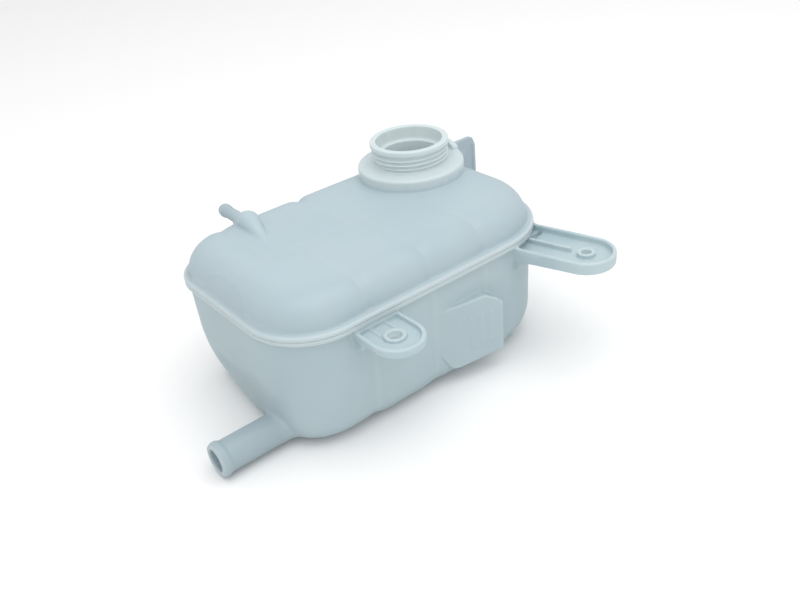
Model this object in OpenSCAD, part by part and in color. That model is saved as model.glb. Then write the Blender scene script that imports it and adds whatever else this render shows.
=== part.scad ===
// Coolant expansion tank: two translucent shells welded at a seam flange.
// X is the long way of the tank, Y the short way, Z up.
// The origin is at the middle of the flat underside that the tank rests on.

/* [Seam flange] */
// Length of the flange along X
flange_l = 215.5; // [213:0.25:219]
// Width of the flange along Y
flange_w = 141.75; // [140:0.25:145]
// Thickness of each shell's half of the flange
flange_t = 3; // [2.4:0.2:3.6]
// Height of the weld plane above the underside
seam_z = 80; // [78:1:86]

/* [Walls] */
// Wall thickness of both shells
wall = 3; // [2.4:0.2:3.4]
// Thickness of the baffle walls inside
baffle_t = 2; // [1.6:0.2:2.4]
// How far the lower walls lean in from the flange to the floor
draft = 2; // [1.6:0.2:3]
// Radius where the lower walls turn into the floor
floor_r = 18; // [16:1:20]

/* [Dome] */
// Height of the dome's flat top above the weld plane
dome_h = 21.4; // [21:0.2:23]
// Radius of the dome's shoulder
shoulder_r = 17; // [15:1:17]

/* [Filler neck] */
// Position of the neck along X
neck_x = 61.2; // [58:0.2:62]
// Position of the neck along Y
neck_y = 27.4; // [24:0.2:28]
// Outer radius of the smooth lip at the top of the neck
lip_r = 26.5; // [26:0.1:27]
// Radius of the neck below the lip, at the root of the cap thread
thread_root_r = 24.4; // [24.2:0.1:24.8]
// Radius of the neck's mouth, where the cap's seal enters
mouth_r = 22.4; // [22:0.1:22.6]
// Radius of the throat below the sealing seat
throat_r = 19.4; // [17:0.2:20]
// Radius of the round collar under the neck
collar_r = 36; // [35:0.2:37]
// Height of the collar above the dome
collar_h = 9.6; // [9:0.2:10.4]
// Height of the neck's rim above the weld plane
rim_h = 46.2; // [45:0.2:46.6]

/* [Hose spigot] */
// Outer radius of the spigot's straight part
spigot_r = 10; // [9.6:0.1:10.2]
// Outer radius of the bead at its end
bead_r = 10.9; // [10.6:0.1:11]
// Bore radius of the spigot
spigot_bore_r = 7; // [6:0.2:7.4]
// Height of the spigot's axis above the underside
spigot_z = 11.2; // [11.2:0.2:13]
// Position of the spigot's axis along Y
spigot_y = -33.3; // [-36.3:1:-30.3]
// How far the spigot's mouth lies from the tank's middle
spigot_end = 146; // [142:0.5:150]

/* [Vent nipple] */
// Outer radius of the nipple
nipple_r = 4; // [3.7:0.1:4.3]
// Bore radius of the nipple
nipple_bore_r = 2.2; // [1.8:0.1:2.6]
// Length of the nipple outside its turret
nipple_len = 26; // [22:1:28]

/* [Mounting arm] */
// Width of the arm
arm_w = 36.6; // [35:0.2:38]
// Depth of the arm's rim at its tip
arm_t = 8; // [7:0.2:8.6]
// Radius of the hole near the arm's tip
arm_hole_r = 3.2; // [2.8:0.1:3.6]

/* [Mounting lug] */
// Radius of the lug's round end
lug_r = 16; // [15:0.5:17]
// Radius of the hole in the lug
lug_hole_r = 4.2; // [3.6:0.1:4.6]

/* [Hidden] */
$fn = 96;
tank_col = [0.80, 0.87, 0.89];
dome_col = [0.84, 0.90, 0.92];

// Plan of the flange, in half lengths.
fx = flange_l/2;
fy = flange_w/2;
// Baffle positions along X before and behind the long baffle, and the long
// baffle's position along Y.
front_baffles = [-51, -4.5, 37.5];
back_baffles = [-72, -14];
long_y = -3;
// The arm's direction, in degrees from -Y towards +X.
arm_a = 15;
// Middle of the arm's round tip.
arm_tip = [88.6, -103.2];
// Middle of the lug's round end.
lug_c = [-49, -88];
// Where the turret and nipple stand.
nip_x = -58.8;
nip_z = seam_z + 23.1;
nip_y0 = 50;

// One corner of the plan: x, y of its centre, radius, and start angle.
function corners(x0, x1, y0, y1, r) = [
    [snap(x1 - r[3]), snap(y1 - r[3]), r[3], 0],
    [snap(x0 + r[2]), snap(y1 - r[2]), r[2], 90],
    [snap(x0 + r[0]), snap(y0 + r[0]), r[0], 180],
    [snap(x1 - r[1]), snap(y0 + r[1]), r[1], 270]
];

// Plan points are kept to 1/8 mm and profile points to 1/16 mm, whose sums are
// exact, so that the corners and the straight strips between them meet exactly.
function snap(v) = round(v*8)/8;
function fine(v) = round(v*16)/16;

// Edge profile of the lower body, as [inset, z] from the floor up:
// a round of radius r, then a wall that leans out by d up to height h.
function low_edge(z0, h, r, d, n = 7) =
    let (a = atan2(d, h - z0 - r))
    concat(
        [for (k = [0:n]) let (t = (90 - a)*k/n)
            [fine(d + r/cos(a) - r*sin(t)), fine(z0 + r - r*cos(t))]],
        [[0, h]]);

// Edge profile of the dome, as [inset, z] from the flange up.
function top_edge(z0, z1, r, n = 7) =
    concat([[0, z0]],
        [for (k = [0:n]) [fine(r - r*cos(90*k/n)), fine(z1 - r + r*sin(90*k/n))]]);

// A solid with the rounded plan x0..x1, y0..y1, corner radii r
// (front-left, front-right, back-left, back-right) and edge profile e.
module pan(x0, x1, y0, y1, r, e) {
    pan_snapped(snap(x0), snap(x1), snap(y0), snap(y1), [for (v = r) snap(v)], e);
}

module pan_snapped(x0, x1, y0, y1, r, e) {
    zl = e[0][1];
    zh = e[len(e) - 1][1];
    w = 34;
    for (c = corners(x0, x1, y0, y1, r))
        translate([c[0], c[1], 0]) rotate([0, 0, c[3]])
            rotate_extrude(angle = 90)
                polygon(concat([[0, zl]], [for (q = e) [c[2] - q[0], q[1]]], [[0, zh]]));
    // Straight strips between the corners.
    strip(x0 + r[0], x1 - r[1], y0, 0, e, w, zl, zh);
    strip(-(x1 - r[3]), -(x0 + r[2]), -y1, 180, e, w, zl, zh);
    strip(-(y1 - r[2]), -(y0 + r[0]), x0, 270, e, w, zl, zh);
    strip(y0 + r[1], y1 - r[3], -x1, 90, e, w, zl, zh);
    translate([x0 + w - 3, y0 + w - 3, zl]) cube([x1 - x0 - 2*w + 6, y1 - y0 - 2*w + 6, zh - zl]);
}

// One straight strip of the edge, along X from a to b at y = y0, turned by ang.
module strip(a, b, y0, ang, e, w, zl, zh) {
    rotate([0, 0, ang]) translate([snap(a), snap(y0), 0]) rotate([90, 0, 90])
        linear_extrude(snap(b) - snap(a))
            polygon(concat([[w, zl]], [for (q = e) [q[0], q[1]]], [[w, zh]]));
}

// Flat plate with the rounded plan.
module plate(x0, x1, y0, y1, r, z0, z1) {
    pan(x0, x1, y0, y1, r, [[0, z0], [0, z1]]);
}

// Outside (o = 0) or inside (o = wall) of the lower body.
module low_body(o, top) {
    difference() {
        pan(-fx + 1.3 + o, fx - 2.3 - o, -fy + 2.8 + o, fy - 3 - o,
            [38 - o, 49 - o, 32 - o, 41 - o],
            low_edge(o, top, floor_r - o*0.6, draft));
        // The wall leans in towards the floor at the left and back.
        rotate([0, 18.7, 171.7]) translate([92.9 - o, -200, -200]) cube([200, 400, 400]);
    }
}

// Outside or inside of the dome.
module dome_body(o, bottom) {
    pan(-fx + 2.5 + o, fx - 4.8 - o, -fy + 3.6 + o, fy - 3.8 - o,
        [37 - o, 48 - o, 31.5 - o, 38.5 - o],
        top_edge(bottom, seam_z + dome_h - o, shoulder_r - o*0.7));
}

// Baffle walls, with passages for the coolant at h_gap.
module baffle_set(z0, z1, z_gap, h_gap) {
    difference() {
        union() {
            for (x = front_baffles)
                translate([x - baffle_t/2, -fy, z0]) cube([baffle_t, fy + long_y, z1 - z0]);
            for (x = back_baffles)
                translate([x - baffle_t/2, long_y, z0]) cube([baffle_t, fy - long_y, z1 - z0]);
            translate([-fx, long_y - baffle_t/2, z0]) cube([flange_l, baffle_t, z1 - z0]);
        }
        for (x = front_baffles)
            translate([x - 5, -44, z_gap]) cube([10, 14, h_gap]);
        for (x = back_baffles)
            translate([x - 5, 22, z_gap]) cube([10, 14, h_gap]);
        for (x = [-86, -33, 14, 70])
            translate([x - 6, long_y - 5, z_gap]) cube([12, 10, h_gap]);
    }
}

// Tongue outline of the arm, from deep inside the tank wall to the round tip.
module arm_plan(o) {
    translate(arm_tip) rotate([0, 0, arm_a]) {
        circle(r = arm_w/2 - o);
        translate([-arm_w/2 + o, 0]) square([arm_w - 2*o, 62]);
    }
}

module arm_solid() {
    top = seam_z - flange_t;
    difference() {
        union() {
            translate([0, 0, top - arm_t]) linear_extrude(arm_t) arm_plan(0);
            // Deeper root, tapering out along the arm.
            translate([arm_tip[0], arm_tip[1], 0]) rotate([0, 0, arm_a])
                translate([-arm_w/2, 0, 0]) rotate([90, 0, 90]) linear_extrude(arm_w)
                    polygon([[0, top - arm_t], [62, top - 10.4], [62, top - 0.5], [0, top - 0.5]]);
        }
        // Shallow tray on top.
        difference() {
            translate([0, 0, top - 4.4]) linear_extrude(12) arm_plan(2.6);
            translate([arm_tip[0], arm_tip[1], top - 6]) rotate([0, 0, arm_a])
                translate([-1.2, 14, 0]) cube([2.4, 50, 12]);
            translate([arm_tip[0], arm_tip[1], top - 6]) cylinder(r = arm_hole_r + 2.6, h = 4.6);
        }
        // Deeper pocket along the far side near the root.
        translate([arm_tip[0], arm_tip[1], top - 7.4]) rotate([0, 0, arm_a])
            translate([4, 38, 0]) cube([arm_w/2 - 6.6, 11, 12]);
        translate([arm_tip[0], arm_tip[1], top - 20]) cylinder(r = arm_hole_r, h = 30);
    }
}

module lug_solid() {
    top = seam_z - flange_t - 1;
    difference() {
        union() {
            translate([lug_c[0], lug_c[1], top - 5.4]) cylinder(r = lug_r, h = 5.4);
            translate([lug_c[0] - lug_r, lug_c[1], top - 5.4]) cube([2*lug_r, 26, 5.4]);
            // Small rib under the lug's left root.
            translate([lug_c[0] - lug_r + 0.6, lug_c[1] + 14, top - 9.6]) cube([2.4, 12, 6]);
        }
        difference() {
            translate([0, 0, top - 2.8]) union() {
                translate([lug_c[0], lug_c[1], 0]) cylinder(r = lug_r - 2.6, h = 10);
                translate([lug_c[0] - lug_r + 2.6, lug_c[1], 0]) cube([2*lug_r - 5.2, 26, 10]);
            }
            translate([lug_c[0], lug_c[1] + 2, top - 6]) cylinder(r = lug_hole_r + 2.4, h = 5.2);
        }
        translate([lug_c[0], lug_c[1] + 2, top - 20]) cylinder(r = lug_hole_r, h = 30);
    }
}

// Wedge-shaped pocket on the front wall: level with the wall at the left,
// standing out at the right, with a sloping shoulder at its top right.
module pocket_solid() {
    intersection() {
        translate([0, -50, 0]) rotate([90, 0, 0]) linear_extrude(40)
            polygon([[-8, 36], [-1.5, 24], [4, 14.6], [8, 11.9], [43.1, 14.5], [43.1, 49.5],
                [39, 53.5], [31, 58.5], [-8, 58.5]]);
        linear_extrude(70)
            polygon([[-8, -60], [-8, pocket_y(-8)], [44, pocket_y(44)], [44, -60]]);
    }
    for (x = [18.6, 25.6, 32.8])
        translate([x, pocket_y(x) - 0.7, 24]) cube([2.6, 4, 23]);
}

// Y of the pocket's face at x.
function pocket_y(x) = -67.9 - 8.8*(x + 4)/46.5;

module spigot_outer() {
    translate([-spigot_end, spigot_y, spigot_z]) rotate([0, 90, 0])
        rotate_extrude()
            polygon([[0, 0], [spigot_r, 0], [bead_r, 2.2], [bead_r, 4.6], [spigot_r, 6.4],
                [spigot_r, 37], [spigot_r + 0.2, 42], [spigot_r + 0.7, 50], [0, 66]]);
}

module lower_shell() {
    color(tank_col) difference() {
        union() {
            difference() {
                union() {
                    low_body(0, seam_z - 1);
                    plate(-fx, fx, -fy, fy, [40, 51, 31.5, 41.5], seam_z - flange_t, seam_z);
                    arm_solid();
                    lug_solid();
                    pocket_solid();
                    spigot_outer();
                }
                difference() {
                    low_body(wall, seam_z + 1);
                    baffle_set(wall - 1, seam_z + 2, wall, 12);
                }
            }
        }
        // Inside of the pocket, open to the tank.
        translate([0, 0, 19]) linear_extrude(29)
            polygon([[9, -62], [9, pocket_y(9) + 3], [34, pocket_y(34) + 3], [34, -62]]);
        // Spigot bore.
        translate([-spigot_end - 1, spigot_y, spigot_z]) rotate([0, 90, 0])
            cylinder(r = spigot_bore_r, h = 56);
        // Shallow grooves under the baffles.
        for (x = front_baffles)
            translate([x, -fy, -5.2]) rotate([-90, 0, 0]) cylinder(r = 6, h = fy + long_y);
        for (x = back_baffles)
            translate([x, long_y, -5.2]) rotate([-90, 0, 0]) cylinder(r = 6, h = fy - long_y);
    }
}

// Arch-outlined flat pad on the left end of the dome.
module end_pad() {
    difference() {
        translate([-fx - 1, -7, seam_z + flange_t]) rotate([90, 0, 90]) linear_extrude(22)
            polygon([[-25, 0], [25, 0], [23.5, 7], [18.5, 12], [9, 14.4], [-9, 14.4], [-18.5, 12], [-23.5, 7]]);
        dome_body(0.4, seam_z - 1);
    }
}

module neck_outer() {
    z = seam_z + dome_h;
    rim = seam_z + rim_h;
    translate([neck_x, neck_y, 0]) rotate_extrude()
        polygon([[0, z - 11], [collar_r, z - 11], [collar_r, z + collar_h - 2],
            [collar_r - 0.6, z + collar_h - 0.7], [collar_r - 2, z + collar_h],
            [thread_root_r + 1.2, z + collar_h + 1], [thread_root_r, z + collar_h + 2.2],
            [thread_root_r, rim - 3.6], [lip_r, rim - 2.8], [lip_r, rim - 0.8],
            [lip_r - 0.8, rim], [0, rim]]);
}

// Stop lug for the cap, on the edge of the collar.
module stop_lug() {
    translate([neck_x, neck_y, seam_z + dome_h + collar_h - 2]) rotate([0, 0, -22])
        rotate_extrude(angle = 20) translate([collar_r - 5.4, 0]) square([4.2, 7]);
}

// Rounded boss that carries the nipple, with a ridge running down from it.
module turret() {
    translate([nip_x + 1.5, nip_y0 - 4, nip_z + 0.1]) {
        sphere(r = 6.8);
        rotate([0, 99.5, -99.8]) cylinder(r1 = 6.6, r2 = 2.7, h = 30);
    }
}

module rear_tab() {
    translate([0, 38, 0]) rotate([90, 0, 0]) linear_extrude(3)
        polygon([[88, seam_z + 0.5], [109, seam_z + 0.5], [109, seam_z - 16], [127.8, seam_z - 16],
            [127.8, seam_z + 21], [126.4, seam_z + 24.2], [123.4, seam_z + 25.6], [92, seam_z + 25.6],
            [88, seam_z + 20]]);
    translate([125.2, 34, seam_z - 16]) cube([2.6, 6.4, 36]);
}

module upper_shell() {
    z = seam_z + dome_h;
    rim = seam_z + rim_h;
    color(dome_col) difference() {
        union() {
            difference() {
                union() {
                    dome_body(0, seam_z + 1);
                    plate(-fx, fx, -fy, fy, [40, 51, 31.5, 41.5], seam_z, seam_z + flange_t);
                    neck_outer();
                    stop_lug();
                    turret();
                    rear_tab();
                }
                end_pad();
                difference() {
                    dome_body(wall, seam_z - 1);
                    baffle_set(seam_z - 2, z, z - wall - 10, 11);
                }
            }
            // Vent nipple.
            translate([nip_x, nip_y0 - 2, nip_z]) rotate([-90, 0, 0]) rotate_extrude()
                polygon([[0, 0], [nipple_r + 1, 0], [nipple_r, 4], [nipple_r, nipple_len - 5],
                    [nipple_r + 0.5, nipple_len - 4], [nipple_r + 0.5, nipple_len - 0.8],
                    [nipple_r - 0.2, nipple_len + 2], [0, nipple_len + 2]]);
        }
        // Mouth and throat of the neck.
        translate([neck_x, neck_y, rim - 9.2]) cylinder(r = mouth_r, h = 12);
        translate([neck_x, neck_y, z - wall - 6]) cylinder(r = throat_r, h = 30);
        // Hollow under the collar.
        difference() {
            translate([neck_x, neck_y, z - 7]) cylinder(r = collar_r - wall, h = collar_h + 3.6);
            translate([neck_x, neck_y, z - 8]) cylinder(r = throat_r + 2.6, h = 26);
        }
        // Nipple bore, from its mouth down into the tank.
        translate([nip_x, nip_y0 - 10, nip_z]) rotate([-90, 0, 0])
            cylinder(r = nipple_bore_r, h = nipple_len + 14);
        translate([nip_x + 0.6, nip_y0 - 6, nip_z - 14]) cylinder(r = 2.4, h = 15);
    }
}

lower_shell();
upper_shell();
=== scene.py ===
# Coolant expansion tank: two milky polypropylene shells welded at a seam
# flange. Each moulding is built here as one closed skin, from distance fields
# with real fillets, sink lines, thread and baffles, in the frame of the CAD.
import math
import numpy as np
import bpy
from mathutils import Matrix


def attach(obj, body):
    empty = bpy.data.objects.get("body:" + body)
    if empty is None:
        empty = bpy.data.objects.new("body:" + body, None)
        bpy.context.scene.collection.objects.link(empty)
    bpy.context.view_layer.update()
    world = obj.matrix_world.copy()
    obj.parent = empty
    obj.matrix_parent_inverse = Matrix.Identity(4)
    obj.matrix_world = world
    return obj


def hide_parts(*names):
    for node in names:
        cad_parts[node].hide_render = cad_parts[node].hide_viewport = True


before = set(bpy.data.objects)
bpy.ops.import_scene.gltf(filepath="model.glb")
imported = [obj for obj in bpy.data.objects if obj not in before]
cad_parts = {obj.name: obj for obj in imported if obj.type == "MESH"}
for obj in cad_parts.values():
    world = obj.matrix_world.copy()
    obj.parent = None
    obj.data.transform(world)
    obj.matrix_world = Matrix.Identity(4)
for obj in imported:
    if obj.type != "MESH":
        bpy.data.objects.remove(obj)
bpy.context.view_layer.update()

# ---------------------------------------------------------------- dimensions
# Millimetres, as in the CAD: origin in the middle of the underside, Z up.
SEAM = 80.0
WALL = 3.0
FX, FY = 107.75, 70.875
FLANGE_R = (40.0, 51.0, 31.5, 41.5)
TOP = SEAM + 21.4
NECK = (61.2, 27.4)
RIM = SEAM + 46.2
FRONT = (-51.0, -4.5, 37.5)
BACK = (-72.0, -14.0)
LONG_Y = -3.0
ARM_TIP = (88.6, -103.2)
ARM_R = 18.3
LUG = (-49.0, -88.0)
SPIGOT = (-33.3, 11.2, -146.0)
NIP = (-58.8, 103.1)


# ------------------------------------------------------------ distance fields
def rrect(x, y, x0, x1, y0, y1, r):
    """Plan distance to a rectangle with four corner radii (fl, fr, bl, br)."""
    px, py = x - (x0 + x1) / 2, y - (y0 + y1) / 2
    rr = np.where(py < 0, np.where(px < 0, r[0], r[1]),
                  np.where(px < 0, r[2], r[3]))
    qx = np.abs(px) - (x1 - x0) / 2 + rr
    qy = np.abs(py) - (y1 - y0) / 2 + rr
    return (np.minimum(np.maximum(qx, qy), 0)
            + np.hypot(np.maximum(qx, 0), np.maximum(qy, 0)) - rr)


def rint(a, b, r):
    """Intersection of two fields with a rounded edge of radius r."""
    return (np.minimum(-r, np.maximum(a, b))
            + np.hypot(np.maximum(a + r, 0), np.maximum(b + r, 0)))


def smin(a, b, k):
    """Union with a soft inner corner about k wide."""
    h = np.maximum(k - np.abs(a - b), 0) / k
    return np.minimum(a, b) - h * h * k * 0.25


def smax(a, b, k):
    return -smin(-a, -b, k)


def slab(v, lo, hi):
    return np.maximum(lo - v, v - hi)


def poly(u, v, pts):
    """Distance to a convex outline, given anticlockwise."""
    d = None
    for i in range(len(pts)):
        (a, b), (c, e) = pts[i], pts[(i + 1) % len(pts)]
        nx, ny = e - b, a - c
        n = math.hypot(nx, ny)
        q = ((u - a) * nx + (v - b) * ny) / n
        d = q if d is None else np.maximum(d, q)
    return d


def capsule(x, y, z, p, q, r0, r1):
    """A round cone from p (radius r0) to q (radius r1)."""
    ax = [q[i] - p[i] for i in range(3)]
    n2 = sum(c * c for c in ax)
    t = ((x - p[0]) * ax[0] + (y - p[1]) * ax[1] + (z - p[2]) * ax[2]) / n2
    t = np.clip(t, 0, 1)
    d = np.sqrt((x - p[0] - t * ax[0]) ** 2 + (y - p[1] - t * ax[1]) ** 2
                + (z - p[2] - t * ax[2]) ** 2)
    return d - (r0 + (r1 - r0) * t)


def smooth01(t):
    t = np.clip(t, 0, 1)
    return t * t * (3 - 2 * t)


class Grid:
    """A rectilinear grid that holds one distance field."""

    def __init__(self, xs, ys, zs):
        self.xs, self.ys, self.zs = (np.asarray(v, np.float32)
                                     for v in (xs, ys, zs))
        self.f = np.full((len(xs), len(ys), len(zs)), 1e3, np.float32)

    def part(self, lo, hi):
        """Slices and open coordinate arrays for the part of the grid in a box."""
        s, c = [], []
        for k, v in enumerate((self.xs, self.ys, self.zs)):
            a = int(np.searchsorted(v, lo[k], "left"))
            b = int(np.searchsorted(v, hi[k], "right"))
            s.append(slice(a, max(b, a + 1)))
            shape = [1, 1, 1]
            shape[k] = -1
            c.append(v[s[-1]].reshape(shape))
        return tuple(s), c

    def whole(self):
        return self.part((-1e9,) * 3, (1e9,) * 3)

    def add(self, lo, hi, fn, k=0.01):
        s, (x, y, z) = self.part(lo, hi)
        k = k(x, y, z) if callable(k) else k
        self.f[s] = smin(self.f[s], fn(x, y, z).astype(np.float32), k)

    def cut(self, lo, hi, fn, k=0.01):
        s, (x, y, z) = self.part(lo, hi)
        self.f[s] = smax(self.f[s], -fn(x, y, z).astype(np.float32), k)


def axis(lo, hi, step, fine=None):
    """Grid lines from lo to hi, closer together in the spans in fine."""
    out, v = [lo], lo
    while v < hi:
        s = step
        for a, b, fs in fine or ():
            if a - 1e-6 <= v < b:
                s = fs
        v += s
        out.append(v)
    return np.array(out)


def skin(g):
    """Closed quads around the field's inside (surface nets)."""
    f, xs, ys, zs = g.f, g.xs, g.ys, g.zs
    s = f < 0
    any_, all_ = None, None
    for dx in (0, 1):
        for dy in (0, 1):
            for dz in (0, 1):
                c = s[dx:s.shape[0] - 1 + dx, dy:s.shape[1] - 1 + dy,
                      dz:s.shape[2] - 1 + dz]
                any_ = c.copy() if any_ is None else any_ | c
                all_ = c.copy() if all_ is None else all_ & c
    act = any_ & ~all_
    cell = np.argwhere(act)
    idx = np.full(act.shape, -1, np.int32)
    idx[act] = np.arange(len(cell), dtype=np.int32)
    pos = np.zeros((len(cell), 3))
    cnt = np.zeros(len(cell))
    ci, cj, ck = cell.T
    for ax in range(3):
        for o1 in (0, 1):
            for o2 in (0, 1):
                a = [0, 0, 0]
                a[(ax + 1) % 3], a[(ax + 2) % 3] = o1, o2
                b = list(a)
                b[ax] = 1
                fa = f[ci + a[0], cj + a[1], ck + a[2]]
                fb = f[ci + b[0], cj + b[1], ck + b[2]]
                m = (fa < 0) != (fb < 0)
                t = fa[m] / (fa[m] - fb[m])
                pa = np.stack([xs[ci[m] + a[0]], ys[cj[m] + a[1]],
                               zs[ck[m] + a[2]]], 1)
                pb = np.stack([xs[ci[m] + b[0]], ys[cj[m] + b[1]],
                               zs[ck[m] + b[2]]], 1)
                pos[m] += pa + t[:, None] * (pb - pa)
                cnt[m] += 1
    pos /= cnt[:, None]
    quads = []
    n = s.shape
    for ax in range(3):
        u, v = (ax + 1) % 3, (ax + 2) % 3
        lo = [slice(None)] * 3
        hi = [slice(None)] * 3
        for k in (u, v):
            lo[k] = hi[k] = slice(1, n[k] - 1)
        lo[ax], hi[ax] = slice(0, n[ax] - 1), slice(1, n[ax])
        s0, s1 = s[tuple(lo)], s[tuple(hi)]
        at = np.argwhere(s0 != s1)
        inside = s0[s0 != s1]
        at[:, u] += 1
        at[:, v] += 1
        ring = []
        for du, dv in ((1, 1), (0, 1), (0, 0), (1, 0)):
            q = at.copy()
            q[:, u] -= du
            q[:, v] -= dv
            ring.append(idx[q[:, 0], q[:, 1], q[:, 2]])
        ring = np.stack(ring, 1)
        ring[~inside] = ring[~inside][:, ::-1]
        quads.append(ring)
    return pos, np.concatenate(quads)


def sample(g, p):
    """The field at points p, between grid lines."""
    ii, tt = [], []
    for k, v in enumerate((g.xs, g.ys, g.zs)):
        i = np.clip(np.searchsorted(v, p[:, k], "right") - 1, 0, len(v) - 2)
        ii.append(i)
        tt.append(np.clip((p[:, k] - v[i]) / (v[i + 1] - v[i]), 0, 1))
    out = 0
    for dx in (0, 1):
        for dy in (0, 1):
            for dz in (0, 1):
                w = ((tt[0] if dx else 1 - tt[0]) * (tt[1] if dy else 1 - tt[1])
                     * (tt[2] if dz else 1 - tt[2]))
                out = out + w * g.f[ii[0] + dx, ii[1] + dy, ii[2] + dz]
    return out


def moulding(name, g, faces):
    """The field's skin as a Blender object, thinned to about `faces` triangles."""
    pos, quads = skin(g)
    me = bpy.data.meshes.new(name + "_raw")
    me.vertices.add(len(pos))
    me.vertices.foreach_set("co", (pos * 0.001).astype(np.float32).ravel())
    me.loops.add(quads.size)
    me.loops.foreach_set("vertex_index", quads.ravel().astype(np.int32))
    me.polygons.add(len(quads))
    me.polygons.foreach_set("loop_start",
                            (np.arange(len(quads)) * 4).astype(np.int32))
    me.update(calc_edges=True)
    raw = bpy.data.objects.new(name + "_raw", me)
    bpy.context.collection.objects.link(raw)
    if 2 * len(quads) > faces:
        dec = raw.modifiers.new("thin", "DECIMATE")
        dec.ratio = faces / (2.0 * len(quads))
    dg = bpy.context.evaluated_depsgraph_get()
    out = bpy.data.meshes.new_from_object(raw.evaluated_get(dg))
    out.name = name
    bpy.data.objects.remove(raw, do_unlink=True)
    bpy.data.meshes.remove(me)
    ob = bpy.data.objects.new(name, out)
    bpy.context.collection.objects.link(ob)
    out.polygons.foreach_set("use_smooth", np.ones(len(out.polygons), bool))
    # Shading normals come from the field itself, so thinning leaves no marks.
    p = np.empty(len(out.vertices) * 3, np.float32)
    out.vertices.foreach_get("co", p)
    p = p.reshape(-1, 3).astype(float) * 1000
    h = 0.6
    n = np.stack([sample(g, p + h * e) - sample(g, p - h * e)
                  for e in np.eye(3)], 1)
    n /= np.maximum(np.linalg.norm(n, axis=1), 1e-9)[:, None]
    out.normals_split_custom_set_from_vertices(n.tolist())
    print(name, len(quads) * 2, "->", len(out.polygons), "faces")
    return ob


# ------------------------------------------------------------ shared features
def sink(v, c, w):
    return np.exp(-((v - c) / w) ** 2)


def baffle_lines(x, y, w):
    """How near each point stands to a cross baffle: 1 on it, 0 away from it."""
    front = smooth01((LONG_Y + 4 - y) / 8)
    d = 0
    for bx in FRONT:
        d = d + sink(x, bx, w) * front
    for bx in BACK:
        d = d + sink(x, bx, w) * (1 - front)
    return d


def baffle_walls(x, y, z, lo, hi, gap, gap_h):
    """The six moulded-in walls, 2 mm thick, with their passages."""
    d = slab(y, LONG_Y - 1.0, LONG_Y + 1.0)
    for px in (-86, -33, 14, 70):
        hole = np.maximum(slab(x, px - 6, px + 6), slab(z, gap, gap + gap_h))
        d = np.maximum(d, -hole)
    for xs, side, ya in ((FRONT, 1, -44), (BACK, -1, 22)):
        for bx in xs:
            w = np.maximum(slab(x, bx - 1.0, bx + 1.0), side * (y - LONG_Y))
            hole = np.maximum(slab(y, ya, ya + 14), slab(z, gap, gap + gap_h))
            d = np.minimum(d, np.maximum(w, -hole))
    return np.maximum(d, slab(z, lo, hi))


# ---------------------------------------------------------------- lower shell
def lower_body(x, y, z):
    plan = rrect(x, y, -106.4, 105.4, -68.1, 67.9, (38, 49, 32, 41))
    wall = plan + 2.0 * (SEAM - 1 - z) / (SEAM - 1)
    # The wall leans in towards the floor at the left and back.
    lean = -0.937 * x + 0.136 * y - 0.321 * z - 92.9
    # Each cell's floor bulges a little between the baffles.
    low = np.maximum(0, 1 - np.maximum(z, 0) / 26)
    dip = (1.0 * low + 0.20) * baffle_lines(x, y, 5.0)
    # The front left cell stands back a little towards the floor.
    dip = dip + (1.3 * smooth01((-46 - x) / 10) * smooth01((x + 98) / 26)
                 * smooth01((-20 - y) / 20) * smooth01((46 - z) / 40))
    # The floor's edge: tight at the back left, wide at the right.
    r = (18.0 - 6.0 * smooth01((-70 - x) / 20) * smooth01((y + 24) / 20)
         + 3.5 * smooth01((x - 52) / 30))
    return rint(smax(wall, lean, 6.0), -z, r) + dip


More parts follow.
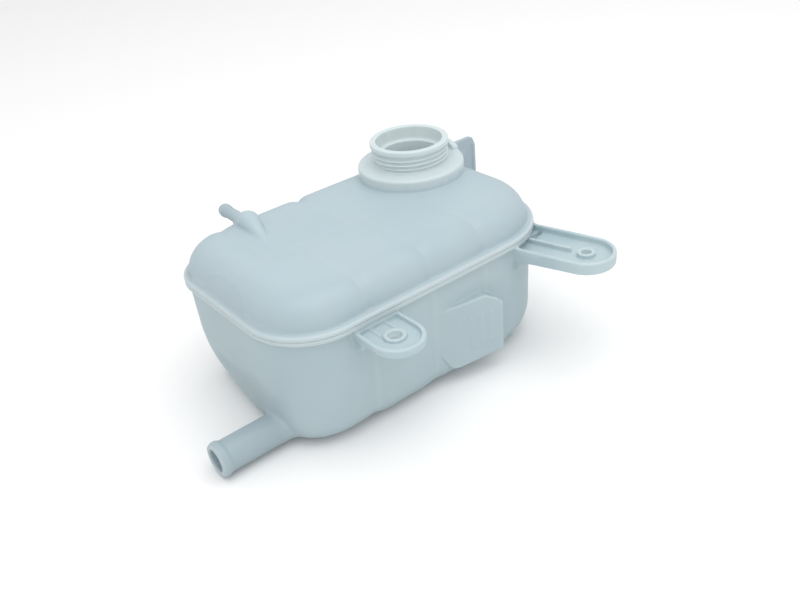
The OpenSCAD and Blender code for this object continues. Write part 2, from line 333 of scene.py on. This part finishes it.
def lower_outer(g):
    s, (x, y, z) = g.whole()
    body = lower_body(x, y, z)
    g.f[...] = body
    cavity = body + WALL

    # Fine sink lines where the baffles stand behind the wall.
    g.f += (0.08 * baffle_lines(x, y, 1.3)).astype(np.float32)

    # Hose spigot with its end bead and flared root.
    def spigot(x, y, z):
        u = x - SPIGOT[2]
        rho = np.hypot(y - SPIGOT[0], z - SPIGOT[1])
        r = np.interp(u.ravel(), [0, 1.2, 2.4, 5.0, 6.2, 7.6, 36, 44, 52],
                      [9.7, 10.4, 10.9, 10.9, 10.0, 9.85, 10.0, 10.2, 10.7])
        d = rho - r.reshape(u.shape)
        return rint(d, -u, 0.8)
    g.add((-150, -60, -2), (-60, -6, 40), spigot, 3.0)
    # Floor stays the lowest plane.
    g.f = np.maximum(g.f, -z)

    # Seam flange, lower half.
    fl = rrect(x, y, -FX, FX, -FY, FY, FLANGE_R)
    plate = rint(rint(fl, z - SEAM, 0.3), SEAM - 3.0 - z, 0.9)
    g.f = smin(g.f, plate, 1.6)

    # Mounting arm: a channel with a raised rim, deeper towards its root.
    ca, sa = math.cos(math.radians(15)), math.sin(math.radians(15))

    def arm_uv(x, y):
        dx, dy = x - ARM_TIP[0], y - ARM_TIP[1]
        u = dx * ca + dy * sa
        v = -dx * sa + dy * ca
        tongue = np.where(v < 0, np.hypot(u, v), np.abs(u))
        return u, v, tongue

    def arm(x, y, z):
        u, v, t = arm_uv(x, y)
        under = SEAM - 3 - (8.2 + 0.035 * np.clip(v, 0, 55))
        return rint(rint(t - ARM_R, z - (SEAM - 3), 0.9), under - z, 1.4)
    lo, hi = (50, -124, 60), (112, -36, 80)
    g.add(lo, hi, arm, 2.4)

    def tray(x, y, z):
        u, v, t = arm_uv(x, y)
        floor = SEAM - 3 - 4.4
        d = rint(t - (ARM_R - 2.6), floor - z, 0.8)
        # Ridge along the middle, and the boss around the hole.
        d = smax(d, -np.maximum(np.maximum(np.abs(u + 0.4) - 1.1, 10 - v),
                                z - (SEAM - 3.7)), 0.8)
        d = smax(d, -np.maximum(np.hypot(u, v) - 5.6, z - (SEAM - 4.2)), 0.8)
        return np.maximum(d, tank(x, y, z))

    def tank(x, y, z):
        """Above zero in the tank's own wall and flange, which stay whole."""
        edge = rrect(x, y, -FX, FX, -FY, FY, FLANGE_R)
        return -np.minimum(lower_body(x, y, z),
                           np.maximum(edge, SEAM - 3.2 - z))
    g.cut(lo, (112, -36, 82), tray, 0.8)

    def arm_well(x, y, z):
        u, v, t = arm_uv(x, y)
        d = rint(np.maximum(slab(u, 3.8, ARM_R - 2.6), slab(v, 38, 49)),
                 SEAM - 10.4 - z, 0.6)
        return np.maximum(d, tank(x, y, z))
    g.cut((60, -90, 66), (112, -60, 82), arm_well, 0.6)
    g.cut((80, -112, 60), (98, -93, 82),
          lambda x, y, z: np.hypot(x - ARM_TIP[0], y - ARM_TIP[1]) - 3.2, 0.5)

    # Gusset under the arm's near root.
    def gusset(x, y, z):
        u, v, t = arm_uv(x, y)
        d = np.maximum(np.abs(u + ARM_R - 1.4) - 1.2,
                       (66 - z) * 0.75 - (v - 34) * 0.66)
        return np.maximum(d, z - 74)
    g.add((50, -90, 44), (90, -50, 76), gusset, 2.0)

    # Mounting lug: a round-ended tray with a raised rim and a boss.
    lt = SEAM - 4.0

    def tongue(x, y, c, cy):
        return np.where(y < cy, np.hypot(x - c, y - cy), np.abs(x - c))

    def lug(x, y, z):
        t = tongue(x, y, LUG[0], LUG[1])
        d = rint(rint(t - 16, z - lt, 0.9), lt - 5.4 - z, 1.2)
        return np.maximum(d, y + 60)
    g.add((-72, -106, 58), (-26, -56, 80), lug, 2.2)

    def lug_tray(x, y, z):
        t = tongue(x, y, LUG[0], LUG[1])
        d = rint(t - 13.3, lt - 2.9 - z, 0.8)
        d = smax(d, -np.maximum(np.hypot(x - LUG[0], y - LUG[1] - 2) - 6.6,
                                z - (lt - 0.8)), 0.7)
        # Two low webs from the boss to the wall.
        web = np.maximum(np.maximum(np.abs(np.abs(x - LUG[0]) - 5.2) - 0.8,
                                    LUG[1] + 4 - y), z - (lt - 1.7))
        return np.maximum(smax(d, -web, 0.7), y + 71.2)
    g.cut((-72, -106, 60), (-26, -60, 82), lug_tray, 0.7)
    g.cut((-56, -93, 60), (-42, -79, 82),
          lambda x, y, z: np.hypot(x - LUG[0], y - LUG[1] - 2) - 4.2, 0.5)

    def lug_rib(x, y, z):
        ring = np.hypot(y + 71.5, z - 69.5) - 4.6
        return np.maximum(np.abs(x - (LUG[0] - 14.2)) - 1.2, ring)
    g.add((-70, -80, 60), (-58, -60, 76), lug_rib, 1.2)

    # Wedge-shaped pocket on the front wall: level with it at the left,
    # standing out at the right, with three low ribs on its face.
    outline = [(-8, 36), (-1.5, 24), (4, 14.6), (8, 11.9), (43.1, 14.5),
               (43.1, 49.5), (39, 53.5), (31, 58.5), (-8, 58.5)]

    def face_y(x):
        return -67.9 - 8.8 * (x + 4) / 46.5

    def pocket(x, y, z):
        # At its left the face leans in with the wall, so that no edge shows.
        face = face_y(x) + (2.0 * (79 - z) / 79 - 0.1) * smooth01((22 - x) / 28)
        d = rint(poly(x, z, outline), (face - y) * 0.986, 0.9)
        ribs = None
        for rx in (18.6, 25.6, 32.8):
            q = np.maximum(slab(x, rx, rx + 2.6), slab(z, 24, 47))
            ribs = q if ribs is None else np.minimum(ribs, q)
        ribs = np.maximum(ribs, face_y(x) - 0.5 - y)
        return np.maximum(smin(d, ribs, 0.9), y + 62)
    # It runs out into the wall at its left and stands off it at its right.
    g.add((-14, -80, 4), (60, -60, 70), pocket,
          lambda x, y, z: 0.5 + 1.9 * smooth01((x - 4) / 16))

    # Inside: the cavity with the baffles left standing, and the pocket.
    walls = baffle_walls(x, y, z, 0, SEAM + 2, WALL, 12)
    room = smax(cavity, -walls, 2.0)
    g.f = smax(g.f, -room.astype(np.float32), 0.6)
    g.cut((0, -80, 15), (50, -62, 52), lambda x, y, z: np.maximum(
        np.maximum(slab(x, 9, 34), slab(z, 19, 48)), face_y(x) + 3 - y), 1.0)
    g.cut((-150, -44, 0), (-86, -22, 24), lambda x, y, z: rint(
        np.hypot(y - SPIGOT[0], z - SPIGOT[1]) - 7.0, x + 91, 0.5), 0.5)
    g.f = np.maximum(g.f, z - SEAM)


# ---------------------------------------------------------------- upper shell
def dome(x, y, z):
    plan = rrect(x, y, -105.2, 102.9, -67.3, 67.1, (37, 48, 31.5, 38.5))
    shoulder = smooth01((plan + 26) / 14)
    dip = (0.8 * shoulder + 0.12) * baffle_lines(x, y, 4.2)
    # The back of the shoulder is drawn in more deeply at its baffle.
    dip = dip + 1.1 * shoulder * sink(x, -14, 3.8) * smooth01((y - 30) / 20)
    dip = dip + 0.16 * sink(y, LONG_Y, 1.6) * smooth01((20 - x) / 20)
    top = TOP + 0.25 - 0.5 * (x / 100) ** 2 - 0.5 * (y / 60) ** 2
    return rint(plan, z - top, 17.0) + dip


def upper_outer(g):
    s, (x, y, z) = g.whole()
    body = dome(x, y, z)
    g.f[...] = body
    cavity = body + WALL
    g.f += (0.07 * baffle_lines(x, y, 1.2)).astype(np.float32)

    # Arch-outlined pad on the left end, a shade lower than the skin round it.
    arch = [(-25, 80), (25, 80), (25, 83), (23.5, 90), (18.5, 95), (9, 97.4),
            (-9, 97.4), (-18.5, 95), (-23.5, 90), (-25, 83)]

    def pad(x, y, z):
        return np.maximum(poly(y, z, arch), x + 84)
    s2, (px, py, pz) = g.part((-112, -32, 78), (-76, 32, 104))
    d = pad(px, py, pz)
    hollow = smooth01(-d / 1.8) * 0.25 - 0.08 * np.exp(-((d + 0.2) / 0.9) ** 2)
    g.f[s2] += hollow.astype(np.float32)

    # Seam flange, upper half, with its rounded lip.
    fl = rrect(x, y, -FX, FX, -FY, FY, FLANGE_R)
    plate = rint(rint(fl, z - (SEAM + 3.0), 1.5), SEAM - z, 0.3)
    g.f = smin(g.f, plate, 2.2)

    # Collar, waist, threaded neck and lip, turned about the neck's axis.
    def rho(x, y):
        return np.hypot(x - NECK[0], y - NECK[1])

    def collar(x, y, z):
        r = rho(x, y)
        cone = z - (TOP + 10.3 - 0.12 * (r - 24))
        return rint(r - 36, cone, 1.7)
    g.add((20, -16, 90), (104, 72, 116), collar, 1.6)

    def neck(x, y, z):
        r = rho(x, y)
        th = np.arctan2(y - NECK[1], x - NECK[0]) / (2 * math.pi)
        h = (z - 113.0) / 3.0 - th
        ridge = np.abs((h % 1.0) - 0.5)
        amp = smooth01((z - 112.4 - 1.2 * (th + 0.5)) / 1.2) * smooth01(
            (122.0 - z) / 0.8)
        thread = 1.5 * amp * smooth01(1 - (ridge - 0.08) / 0.26)
        body_r = 24.4 + thread
        a = (r - body_r) * 0.85
        b = rint(rint(r - 26.5, z - RIM, 0.8), 122.6 - z, 0.7)
        d = smin(np.maximum(a, z - 123.6), b, 0.8)
        return d
    g.add((30, -4, 106), (92, 60, 127), neck, 1.4)

    # Stop lug on the collar's right.
    def stop(x, y, z):
        r = rho(x, y)
        ang = np.degrees(np.arctan2(y - NECK[1], x - NECK[0]))
        side = (np.abs(ang + 12) - 10) * math.radians(1) * 32
        top = 115.9 - 0.5 * np.maximum(0, -(ang + 4)) * 0.25
        d = rint(slab(r, 30.6, 34.8), z - top, 0.8)
        return rint(d, side, 0.8)
    g.add((84, 8, 104), (98, 32, 118), stop, 1.2)

    # Turret that the vent nipple stands in, running out along the dome.
    def turret(x, y, z):
        return capsule(x, y, z, (-57.0, 46.0, 103.4), (-61.9, 17.5, 98.7),
                       6.8, 2.6)
    g.add((-76, 6, 86), (-40, 70, 116), turret, 2.0)

    def nipple(x, y, z):
        r = np.hypot(x - NIP[0], z - NIP[1])
        k = np.interp(y.ravel(), [50, 53, 55, 69.0, 70.2, 73.4, 76.0],
                      [5.4, 4.4, 4.0, 4.0, 4.5, 4.5, 3.8])
        d = r - k.reshape(y.shape)
        return rint(d, y - 76.0, 0.6)
    g.add((-70, 46, 92), (-48, 80, 114), nipple, 2.6)

    # Upright tab behind the neck, with its return rim.
    tab = [(127.8, 64), (127.8, 101), (126.4, 104.2), (123.4, 105.6), (92, 105.6),
           (88, 100), (88, 80.5), (109, 64)]

    def rear(x, y, z):
        d = poly(x, z, tab)
        d = np.maximum(d, -np.maximum(x - 109, z - 80.5))
        d = rint(d, slab(y, 35, 38), 0.5)
        rim = rint(np.maximum(slab(x, 125.2, 127.8), slab(z, 64, 100)),
                   slab(y, 34, 40.4), 0.5)
        return smin(d, rim, 0.8)
    g.add((84, 30, 62), (130, 44, 110), rear, 1.6)

    # Inside: the dome's room, the baffles, the ring under the collar.
    walls = baffle_walls(x, y, z, SEAM - 2, TOP, TOP - WALL - 10, 11)
    room = smax(cavity, -walls, 2.0)
    g.f = smax(g.f, -room.astype(np.float32), 0.6)
    g.cut((20, -16, 90), (104, 72, 112), lambda x, y, z: np.maximum(
        rint(slab(rho(x, y), 22.0, 33.0), z - 107.6, 2.0), 94.4 - z), 0.6)
    g.cut((34, 0, 90), (88, 56, 128),
          lambda x, y, z: rho(x, y) - 19.4, 0.4)
    g.cut((34, 0, 110), (88, 56, 128), lambda x, y, z: rint(
        rho(x, y) - 22.4, RIM - 9.2 - z, 0.5), 0.5)
    g.cut((-64, 38, 96), (-52, 82, 110), lambda x, y, z: rint(
        np.hypot(x - NIP[0], z - NIP[1]) - 2.2, 42.0 - y, 0.3), 0.3)
    g.cut((-64, 38, 84), (-52, 50, 108), lambda x, y, z: rint(
        np.hypot(x - NIP[0] - 0.6, y - 44) - 2.4, z - 104.0, 0.3), 0.3)
    # The tab hangs below the seam outside the flange, the rest ends at it.
    g.f = np.where(x > 108.2, g.f, np.maximum(g.f, SEAM - z))


# ------------------------------------------------------------------ materials
def pp_material(name, base, deep, seed, see=0.05, translucent=0.25):
    """Milky natural polypropylene: cloudy colour, satin skin, light inside."""
    m = bpy.data.materials.new(name)
    m.use_nodes = True
    nt = m.node_tree
    for n in list(nt.nodes):
        nt.nodes.remove(n)
    N = nt.nodes.new
    L = nt.links.new

    out = N("ShaderNodeOutputMaterial")
    co = N("ShaderNodeTexCoord")

    big = N("ShaderNodeTexNoise")
    big.inputs["Scale"].default_value = 16.0
    big.inputs["Detail"].default_value = 3.0
    big.inputs["Roughness"].default_value = 0.55
    off = N("ShaderNodeMapping")
    off.inputs["Location"].default_value = (seed, seed * 0.7, seed * 1.3)
    L(co.outputs["Object"], off.inputs["Vector"])
    L(off.outputs["Vector"], big.inputs["Vector"])

    ramp = N("ShaderNodeValToRGB")
    ramp.color_ramp.elements[0].position = 0.30
    ramp.color_ramp.elements[0].color = (*deep, 1)
    ramp.color_ramp.elements[1].position = 0.70
    ramp.color_ramp.elements[1].color = (*base, 1)
    L(big.outputs["Fac"], ramp.inputs["Fac"])

    # Paler, slightly warm along convex edges.
    geo = N("ShaderNodeNewGeometry")
    edge = N("ShaderNodeMapRange")
    edge.inputs["From Min"].default_value = 0.505
    edge.inputs["From Max"].default_value = 0.60
    edge.inputs["To Min"].default_value = 0.0
    edge.inputs["To Max"].default_value = 0.55
    L(geo.outputs["Pointiness"], edge.inputs["Value"])
    rim = N("ShaderNodeMix")
    rim.data_type = "RGBA"
    rim.inputs["B"].default_value = (0.80, 0.87, 0.86, 1)
    L(edge.outputs["Result"], rim.inputs["Factor"])
    L(ramp.outputs["Color"], rim.inputs["A"])
    # Solid plastic, as in the flange, scatters more than a wall and looks
    # cream-white; the same cream mix also carries painted light on the inner
    # skin and in the hollows of the lug and the arm.
    thick_and_painted_light = N("ShaderNodeAttribute")
    thick_and_painted_light.attribute_name = "thick_and_painted_light"
    mix = N("ShaderNodeMix")
    mix.data_type = "RGBA"
    mix.inputs["B"].default_value = (0.83, 0.89, 0.885, 1)
    L(thick_and_painted_light.outputs["Fac"], mix.inputs["Factor"])
    # Painted shade: the grey mix darkens thin outer parts and the dome's shoulder.
    thin = N("ShaderNodeAttribute")
    thin.attribute_name = "thin"
    painted_shade = N("ShaderNodeMix")
    painted_shade.data_type = "RGBA"
    painted_shade.inputs["B"].default_value = (0.37, 0.45, 0.50, 1)
    L(thin.outputs["Fac"], painted_shade.inputs["Factor"])
    L(rim.outputs["Result"], painted_shade.inputs["A"])
    L(painted_shade.outputs["Result"], mix.inputs["A"])

    # Satin skin: fine orange peel and a trace of flow marks.
    fine = N("ShaderNodeTexNoise")
    fine.inputs["Scale"].default_value = 420.0
    fine.inputs["Detail"].default_value = 2.0
    L(co.outputs["Object"], fine.inputs["Vector"])
    flow = N("ShaderNodeTexNoise")
    flow.inputs["Scale"].default_value = 60.0
    flow.inputs["Detail"].default_value = 2.0
    fmap = N("ShaderNodeMapping")
    fmap.inputs["Scale"].default_value = (0.25, 1.0, 1.6)
    L(co.outputs["Object"], fmap.inputs["Vector"])
    L(fmap.outputs["Vector"], flow.inputs["Vector"])
    b1 = N("ShaderNodeBump")
    b1.inputs["Strength"].default_value = 0.10
    b1.inputs["Distance"].default_value = 0.0003
    L(fine.outputs["Fac"], b1.inputs["Height"])
    b2 = N("ShaderNodeBump")
    b2.inputs["Strength"].default_value = 0.12
    b2.inputs["Distance"].default_value = 0.0012
    L(flow.outputs["Fac"], b2.inputs["Height"])
    L(b1.outputs["Normal"], b2.inputs["Normal"])

    rough = N("ShaderNodeMapRange")
    rough.inputs["From Min"].default_value = 0.3
    rough.inputs["From Max"].default_value = 0.7
    rough.inputs["To Min"].default_value = 0.34
    rough.inputs["To Max"].default_value = 0.46
    L(flow.outputs["Fac"], rough.inputs["Value"])

    pr = N("ShaderNodeBsdfPrincipled")
    pr.inputs["IOR"].default_value = 1.49
    pr.inputs["Specular IOR Level"].default_value = 0.5
    L(mix.outputs["Result"], pr.inputs["Base Color"])
    L(rough.outputs["Result"], pr.inputs["Roughness"])
    L(b2.outputs["Normal"], pr.inputs["Normal"])

    tr = N("ShaderNodeBsdfTranslucent")
    L(mix.outputs["Result"], tr.inputs["Color"])
    L(b2.outputs["Normal"], tr.inputs["Normal"])
    clear = N("ShaderNodeBsdfTransparent")
    clear.inputs["Color"].default_value = (0.93, 0.97, 0.98, 1)

    a = N("ShaderNodeMixShader")
    a.inputs["Fac"].default_value = translucent
    L(pr.outputs["BSDF"], a.inputs[1])
    L(tr.outputs["BSDF"], a.inputs[2])
    b = N("ShaderNodeMixShader")
    b.inputs["Fac"].default_value = see
    L(a.outputs["Shader"], b.inputs[1])
    L(clear.outputs["BSDF"], b.inputs[2])
    L(b.outputs["Shader"], out.inputs["Surface"])
    return m


def floor_material():
    m = bpy.data.materials.new("pale_floor")
    m.use_nodes = True
    nt = m.node_tree
    pr = nt.nodes["Principled BSDF"]
    noise = nt.nodes.new("ShaderNodeTexNoise")
    noise.inputs["Scale"].default_value = 3.0
    ramp = nt.nodes.new("ShaderNodeValToRGB")
    ramp.color_ramp.elements[0].color = (0.86, 0.86, 0.86, 1)
    ramp.color_ramp.elements[1].color = (0.88, 0.88, 0.88, 1)
    nt.links.new(noise.outputs["Fac"], ramp.inputs["Fac"])
    nt.links.new(ramp.outputs["Color"], pr.inputs["Base Color"])
    pr.inputs["Roughness"].default_value = 0.9
    pr.inputs["Specular IOR Level"].default_value = 0.1
    return m


# --------------------------------------------------------------------- pieces
step = 1.0

low = Grid(axis(-148.5, 110, step),
           axis(-124, 73.5, step, [(-124, -64, step * 0.75)]),
           axis(-2.3, 82.2, step, [(60, 84, step * 0.6)]))
lower_outer(low)
lower = moulding("lower_moulding", low, 190000)

nx, ny = NECK
up = Grid(axis(-110, 130, step, [(-112, -86, step * 0.8),
                                   (nx - 27.5, nx + 27.5, step * 0.55)]),
          axis(-73.5, 80.8, step, [(ny - 27.5, ny + 27.5, step * 0.55)]),
          axis(61.7, 128.2, step, [(78, 85, step * 0.55),
                                   (108, 129, step * 0.4)]))
upper_outer(up)
upper = moulding("upper_moulding", up, 190000)

def paint_thickness_light_and_shade(ob):
    """Point attributes: one where the plastic is solid or light is painted on,
    and one (thin) where shade is painted on thin parts that stand alone, with
    no light coming back through them from inside, and on the dome's shoulder."""
    me = ob.data
    p = np.empty(len(me.vertices) * 3, np.float32)
    me.vertices.foreach_get("co", p)
    x, y, z = p.reshape(-1, 3).T * 1000
    edge = rrect(x, y, -FX, FX, -FY, FY, FLANGE_R)
    w = smooth01((edge + 2.4) / 1.8) * smooth01((3.6 - np.abs(z - SEAM)) / 1.0)
    w = 0.36 * np.where(edge > 1.0, 0, w)
    # The baffles show through the skin as faint pale lines.
    lines = np.maximum(baffle_lines(x, y, 1.6),
                       sink(y, LONG_Y, 1.6) * (np.abs(x) < 100))
    w = np.maximum(w, np.where(z > SEAM, 0.035, 0.09) * lines * (edge < -1)
                   * (z > 4))
    r = np.hypot(x - NECK[0], y - NECK[1])
    w = np.maximum(w, 0.55 * smooth01((38 - r) / 2) * smooth01((z - TOP - 1) / 3))
    # Painted light on the bosses and in the small holes, and over the trays of the
    # lug and the arm, against the shade in them; the spigot's cut end is paler as
    # solid plastic.
    lug_r = np.hypot(x - LUG[0], y - LUG[1] - 2)
    arm_r = np.hypot(x - ARM_TIP[0], y - ARM_TIP[1])
    w = np.maximum(w, (0.35 * (lug_r < 4.6) + 0.06 * (lug_r < 16.5)
                       * (y < -70)) * (z > 60))
    w = np.maximum(w, (0.35 * (arm_r < 3.6)
                       + 0.16 * smooth01((24 - arm_r) / 6)) * (z > 60))
    w = np.maximum(w, 0.22 * smooth01((-144.4 - x) / 0.8))
    # Painted light inside the chambers and the neck: the clean inner skin is
    # painted pale, as if light gathered there.
    inner = np.where(z < SEAM, lower_body(x, y, z), dome(x, y, z)) < -1.8
    inner = inner & (edge < -4) | (r < 23) & (z > 94)
    w = np.maximum(w, 0.8 * inner)
    # Painted shade: the spigot, the nipple and the tab are painted greyer, as if
    # no light came back through them from inside.
    t = smooth01((-98 - x) / 12) * smooth01((40 - z) / 6)
    t = np.maximum(t, smooth01((y - 52) / 8) * smooth01((z - 97) / 2))
    t = np.maximum(t, smooth01((x - 100) / 10) * smooth01((y - 33) / 1)
                   * np.where(edge > 0.5, 1, smooth01((z - 92) / 6)))
    # Painted shade on the dome's shoulder, a little darker than the top.
    side = rrect(x, y, -105.2, 102.9, -67.3, 67.1, (37, 48, 31.5, 38.5))
    t = np.maximum(t, 0.36 * smooth01((side + 24) / 16) * (edge < -3)
                   * ((z > SEAM + 3.2) & (r > 37)))
    for name, v in (("thick_and_painted_light", w), ("thin", 0.55 * t)):
        at = me.attributes.new(name, "FLOAT", "POINT")
        at.data.foreach_set("value", v.astype(np.float32))


mat_low = pp_material("milky_pp_lower", (0.53, 0.64, 0.68),
                      (0.495, 0.615, 0.655), 1.7)
mat_up = pp_material("milky_pp_upper", (0.545, 0.65, 0.70),
                     (0.515, 0.63, 0.68), 5.1)
for ob, node, mat, slot in ((lower, "lower_shell", mat_low, "shell_lower"),
                            (upper, "upper_shell", mat_up, "shell_upper")):
    paint_thickness_light_and_shade(ob)
    ob.data.materials.clear()
    ob.data.materials.append(mat)
    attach(ob, "root")
    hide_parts(node)

# ---------------------------------------------------------------------- stage
fm = bpy.data.meshes.new("floor")
fm.from_pydata([(-3, -3, 0), (3, -3, 0), (3, 3, 0), (-3, 3, 0)], [],
               [(0, 1, 2, 3)])
floor = bpy.data.objects.new("floor", fm)
floor.location = (0, 0, -0.0002)
bpy.context.collection.objects.link(floor)
fm.materials.append(floor_material())

world = bpy.data.worlds.new("studio")
bpy.context.scene.world = world
world.use_nodes = True
bg = world.node_tree.nodes["Background"]
bg.inputs["Color"].default_value = (1.0, 1.0, 1.0, 1)
bg.inputs["Strength"].default_value = 0.92


def softbox(name, loc, target, size, power, color=(1, 1, 1)):
    li = bpy.data.lights.new(name, "AREA")
    li.shape = "RECTANGLE"
    li.size, li.size_y = size
    li.energy = power
    li.color = color
    ob = bpy.data.objects.new(name, li)
    d = np.array(target, float) - np.array(loc, float)
    z = -d / np.linalg.norm(d)
    x = np.cross((0, 0, 1), z)
    x = x / np.linalg.norm(x) if np.linalg.norm(x) > 1e-6 else np.array((1, 0, 0))
    y = np.cross(z, x)
    m = Matrix.Identity(4)
    for i in range(3):
        m[i][0], m[i][1], m[i][2], m[i][3] = x[i], y[i], z[i], loc[i]
    ob.matrix_world = m
    bpy.context.collection.objects.link(ob)
    return ob


softbox("key", (0.00, -0.30, 1.40), (0, 0, 0.05), (1.6, 1.2), 10.0)
softbox("fill", (-0.25, -1.20, 0.55), (0, 0, 0.05), (1.2, 0.9), 1.0)

# --------------------------------------------------------------------- camera
cam = bpy.data.cameras.new("camera")
cam.sensor_fit = "HORIZONTAL"
cam.sensor_width = 36.0
cam.lens = 36.0 * 844.4 / 800.0
cam.clip_start = 0.01
cam_ob = bpy.data.objects.new("camera", cam)
right = (0.76927843, -0.63267755, -0.08904945)
upv = (0.3935664, 0.35945103, 0.846109)
fwd = (0.50330526, 0.68594028, -0.52551855)
loc = (-0.27078, -0.39626, 0.33217)
cm = Matrix.Identity(4)
for i in range(3):
    cm[i][0], cm[i][1], cm[i][2], cm[i][3] = right[i], upv[i], -fwd[i], loc[i]
cam_ob.matrix_world = cm
bpy.context.collection.objects.link(cam_ob)
bpy.context.scene.camera = cam_ob
bpy.context.scene.view_settings.view_transform = "Standard"
